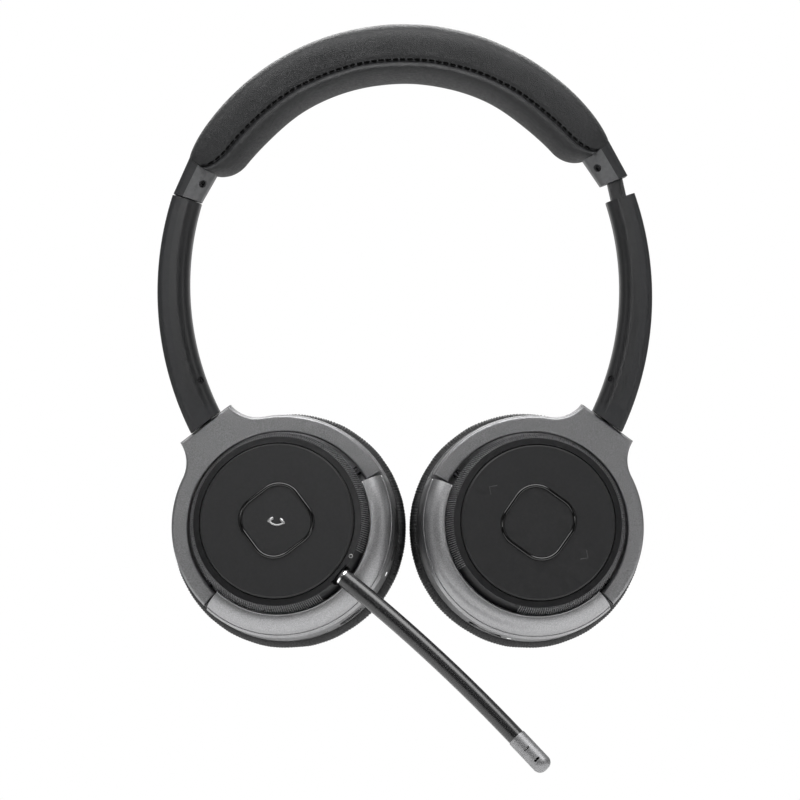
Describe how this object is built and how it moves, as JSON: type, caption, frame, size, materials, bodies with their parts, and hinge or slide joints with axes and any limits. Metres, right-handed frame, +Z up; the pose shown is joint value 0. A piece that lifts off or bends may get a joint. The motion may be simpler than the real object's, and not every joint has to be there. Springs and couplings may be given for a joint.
{
  "type": "office headset",
  "caption": "Wireless on-ear office headset with a padded sliding headband, swivelling and tilting ear cups, and a swing-down microphone boom.",
  "frame": {"origin": "middle of the headband pad's underside, where the head touches it", "axes": "+Z up through the top of the headband, +X towards the cup without the boom, +Y out of the cushions' ear side with the cups folded flat"},
  "size_m": [0.1675, 0.0705, 0.2527],
  "materials": {
    "leatherette": "fine-grained matte black leatherette, stitched along the lower edge",
    "cushion_leatherette": "soft black leatherette gathered over a foam ring",
    "foam": "open-cell grey foam",
    "spring_steel": "blued spring steel",
    "arm_plastic": "moulded black plastic, fine matte texture",
    "cover_plastic": "moulded black plastic, satin",
    "rail_plastic": "satin glass-filled nylon",
    "screw_steel": "blackened steel",
    "gunmetal": "gunmetal paint with fine metallic flake, satin",
    "rim_plastic": "black satin plastic",
    "face_plastic": "soft-touch matte black",
    "gloss_black": "polished black trim",
    "knurled_plastic": "black plastic with a fine knurl",
    "boom_plastic": "smooth black satin tube",
    "bright_steel": "bare bright steel",
    "mesh_fabric": "black acoustic mesh",
    "driver_black": "black speaker frame and diaphragm",
    "circuit_green": "green solder mask",
    "led_white": "white lens",
    "battery_silver": "foil pouch",
    "capsule_metal": "microphone can"
  },
  "bodies": {
    "headband": {"headband_cover": "leatherette", "headband_foam": "foam", "spring_band": "spring_steel", "collar_body_left": "cover_plastic", "collar_strip_left": "arm_plastic", "collar_screws_left": "screw_steel", "slider_rail_left": "rail_plastic", "collar_body_right": "cover_plastic", "collar_strip_right": "arm_plastic", "collar_screws_right": "screw_steel", "slider_rail_right": "rail_plastic"},
    "arm_left": {"arm_body_left": "arm_plastic", "arm_cover_left": "cover_plastic", "arm_screws_left": "screw_steel"},
    "arm_right": {"arm_body_right": "arm_plastic", "arm_cover_right": "cover_plastic", "arm_screws_right": "screw_steel"},
    "yoke_left": {"yoke_left": "gunmetal", "swivel_shaft_left": "screw_steel", "tilt_pins_left": "screw_steel"},
    "yoke_right": {"yoke_right": "gunmetal", "swivel_shaft_right": "screw_steel", "tilt_pins_right": "screw_steel"},
    "cup_left": {"cup_shell_left": "gunmetal", "cup_rim_left": "gunmetal", "baffle_left": "rim_plastic", "driver_left": "driver_black", "ear_cushion_left": "cushion_leatherette", "cushion_mesh_left": "mesh_fabric", "face_disc_left": "face_plastic", "button_bezel_left": "gloss_black", "circuit_board_left": "circuit_green", "status_led_left": "led_white", "usb_port": "bright_steel"},
    "cup_right": {"cup_shell_right": "gunmetal", "cup_rim_right": "gunmetal", "baffle_right": "rim_plastic", "driver_right": "driver_black", "ear_cushion_right": "cushion_leatherette", "cushion_mesh_right": "mesh_fabric", "face_disc_right": "face_plastic", "button_bezel_right": "gloss_black", "circuit_board_right": "circuit_green", "status_led_right": "led_white", "battery": "battery_silver"},
    "boom": {"boom_ring": "knurled_plastic", "boom_socket": "bright_steel", "boom_tube": "boom_plastic", "boom_tip": "gunmetal", "mic_capsule": "capsule_metal"},
    "call_button": {"call_button": "face_plastic"},
    "volume_key": {"volume_key_left": "rim_plastic"},
    "power_key": {"power_key_left": "rim_plastic"},
    "volume_ring": {"volume_ring": "knurled_plastic"},
    "play_button": {"play_button": "face_plastic"},
    "mute_key": {"mute_key_right": "rim_plastic"}
  },
  "joints": [
    {"name": "arm_left_slide", "type": "slide", "parent": "headband", "child": "arm_left", "axis": [-0.2334, 0, -0.9724], "range_m": [0, 0.022]},
    {"name": "yoke_left_swivel", "type": "hinge", "parent": "arm_left", "child": "yoke_left", "pos_m": [-0.0442, 0, -0.1489], "axis": [0.5736, 0, -0.8192], "range_deg": [-1.2, 88.8]},
    {"name": "cup_left_tilt", "type": "hinge", "parent": "yoke_left", "child": "cup_left", "pos_m": [-0.0442, 0, -0.1489], "axis": [-0.819, 0.0209, -0.5735], "range_deg": [-12.7, 1.5]},
    {"name": "boom_swing", "type": "hinge", "parent": "cup_left", "child": "boom", "pos_m": [-0.0442, 0, -0.1489], "axis": [-0.1428, -0.9753, 0.1684], "range_deg": [-120, 105]},
    {"name": "call_button_press", "type": "slide", "parent": "cup_left", "child": "call_button", "axis": [0.1428, 0.9753, -0.1684], "range_m": [0, 0.0006], "stiffness_N_per_m": 400, "springref_m": -0.001},
    {"name": "volume_key_press", "type": "slide", "parent": "cup_left", "child": "volume_key", "axis": [-0.9897, 0.1403, -0.0271], "range_m": [0, 0.0004], "stiffness_N_per_m": 400, "springref_m": -0.001},
    {"name": "power_key_press", "type": "slide", "parent": "cup_left", "child": "power_key", "axis": [-0.9473, 0.184, 0.2622], "range_m": [0, 0.0004], "stiffness_N_per_m": 400, "springref_m": -0.001},
    {"name": "arm_right_slide", "type": "slide", "parent": "headband", "child": "arm_right", "axis": [0.1788, 0, -0.9839], "range_m": [-0.005, 0.017]},
    {"name": "yoke_right_swivel", "type": "hinge", "parent": "arm_right", "child": "yoke_right", "pos_m": [0.03972, 0, -0.15252], "axis": [0.6184, 0, 0.7859], "range_deg": [-2, 88]},
    {"name": "cup_right_tilt", "type": "hinge", "parent": "yoke_right", "child": "cup_right", "pos_m": [0.03972, 0, -0.15252], "axis": [-0.7854, -0.0349, 0.618], "range_deg": [-11.2, 3]},
    {"name": "volume_ring_turn", "type": "hinge", "parent": "cup_right", "child": "volume_ring", "pos_m": [0.03972, 0, -0.15252], "axis": [-0.147, 0.9804, -0.1315], "range_deg": [-20, 20], "stiffness_Nm_per_rad": 0.03},
    {"name": "play_button_press", "type": "slide", "parent": "cup_right", "child": "play_button", "axis": [-0.147, 0.9804, -0.1315], "range_m": [0, 0.0006], "stiffness_N_per_m": 400, "springref_m": -0.001},
    {"name": "mute_key_press", "type": "slide", "parent": "cup_right", "child": "mute_key", "axis": [0.4404, 0.1839, 0.8788], "range_m": [0, 0.0004], "stiffness_N_per_m": 400, "springref_m": -0.001}
  ]
}
